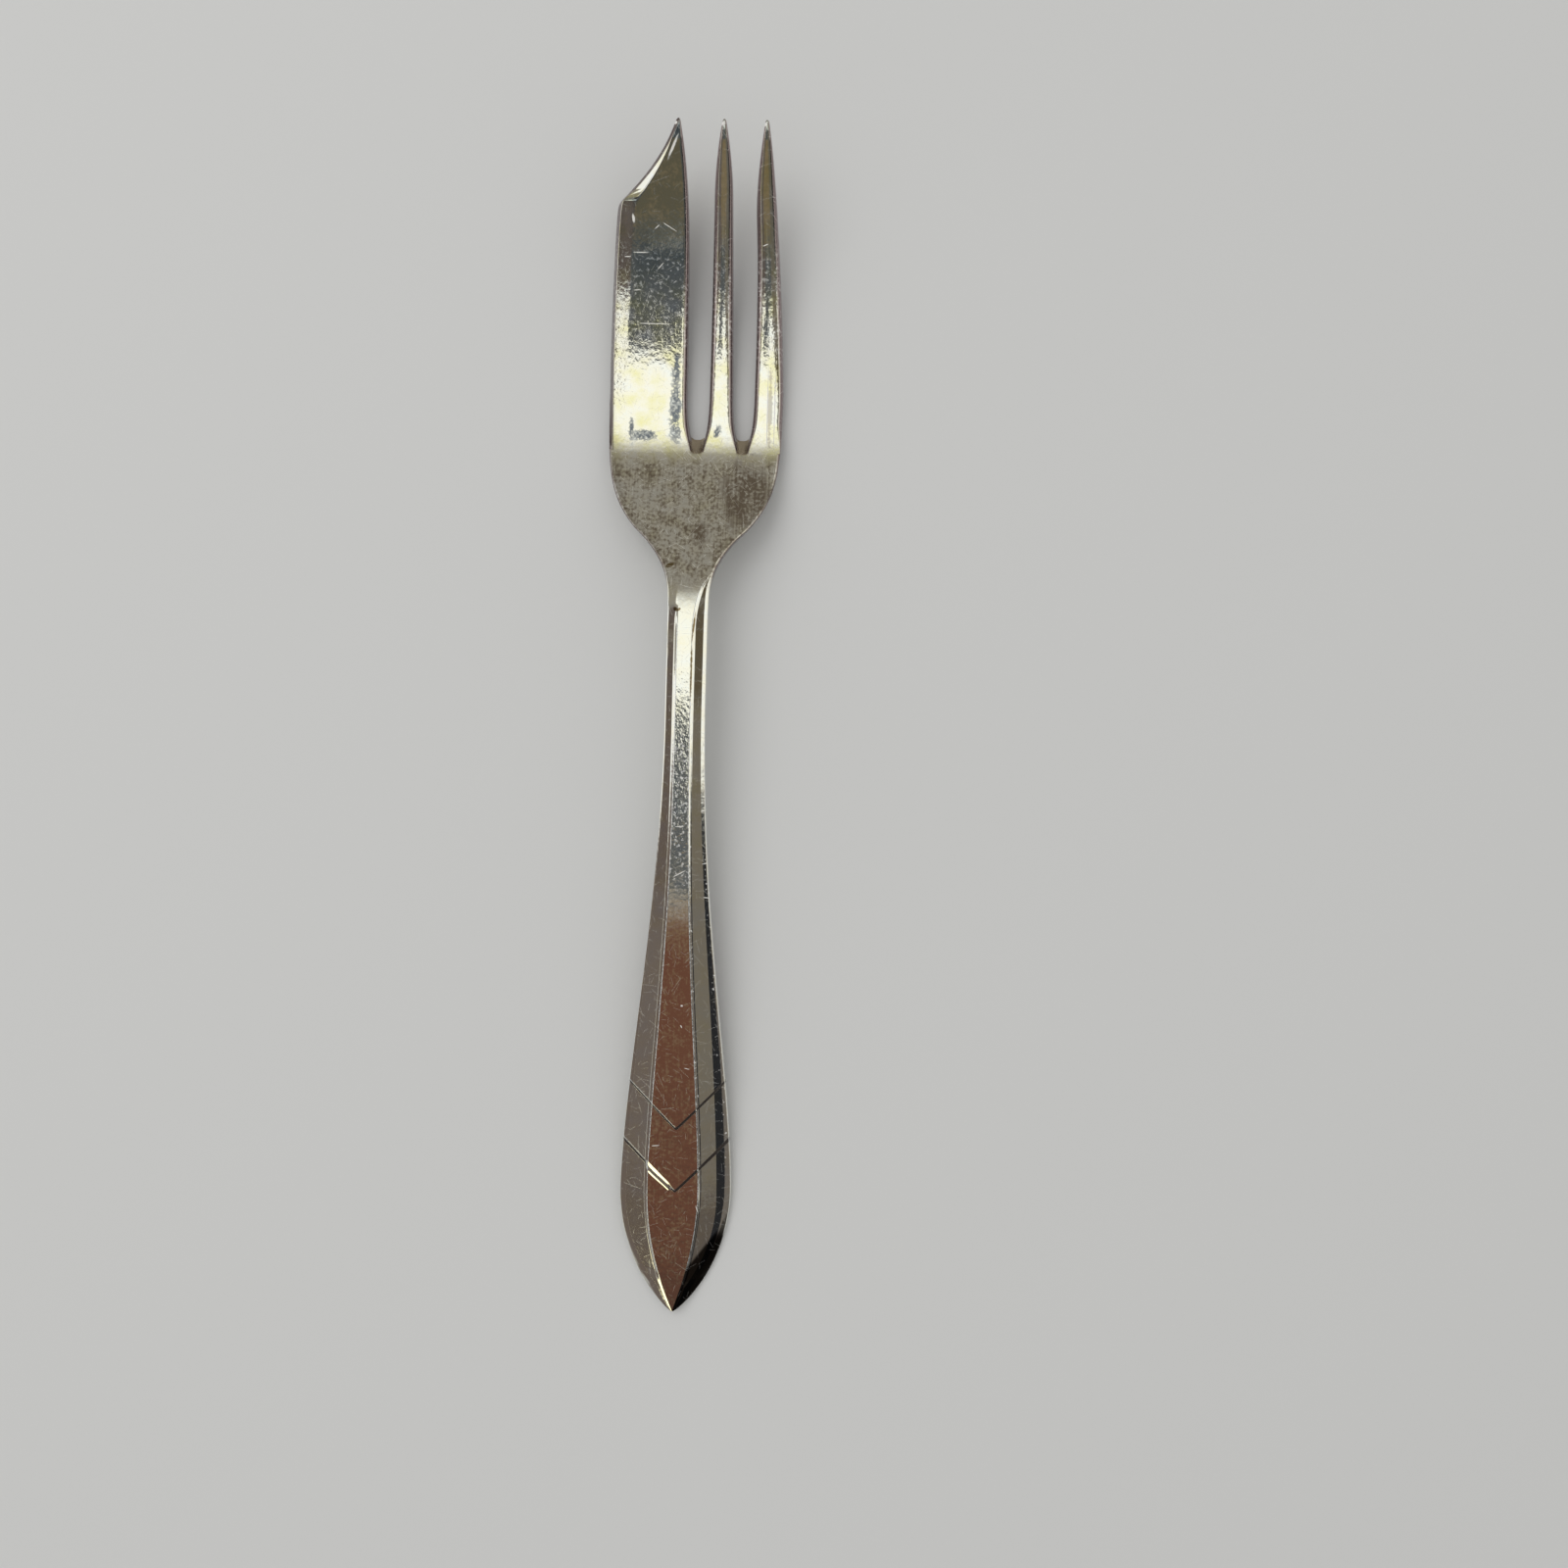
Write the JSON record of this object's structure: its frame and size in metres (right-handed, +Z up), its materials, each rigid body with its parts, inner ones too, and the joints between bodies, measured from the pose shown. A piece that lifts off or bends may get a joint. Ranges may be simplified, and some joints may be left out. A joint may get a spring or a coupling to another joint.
{
  "type": "pastry fork",
  "caption": "Slim pastry fork with a broad bevelled cutting tine beside narrow pointed tines, a raised neck and a pointed handle with a flat panel and chevron steps.",
  "frame": {"origin": "on the table plane, under the middle of the fork's length and of its head's width", "axes": "+Y along the handle to the tine tips, +X to the outer tine, +Z up from the table with the fork face up"},
  "size_m": [0.0218, 0.1466, 0.0101],
  "materials": {
    "silver_plate": "aged polished silver plate with a light warm tarnish and fine scratches"
  },
  "bodies": {
    "root": {"palm": "silver_plate", "cutting_tine": "silver_plate", "middle_tine": "silver_plate", "outer_tine": "silver_plate", "neck": "silver_plate", "handle_shaft": "silver_plate", "chevron_band": "silver_plate", "handle_end": "silver_plate"}
  },
  "joints": []
}
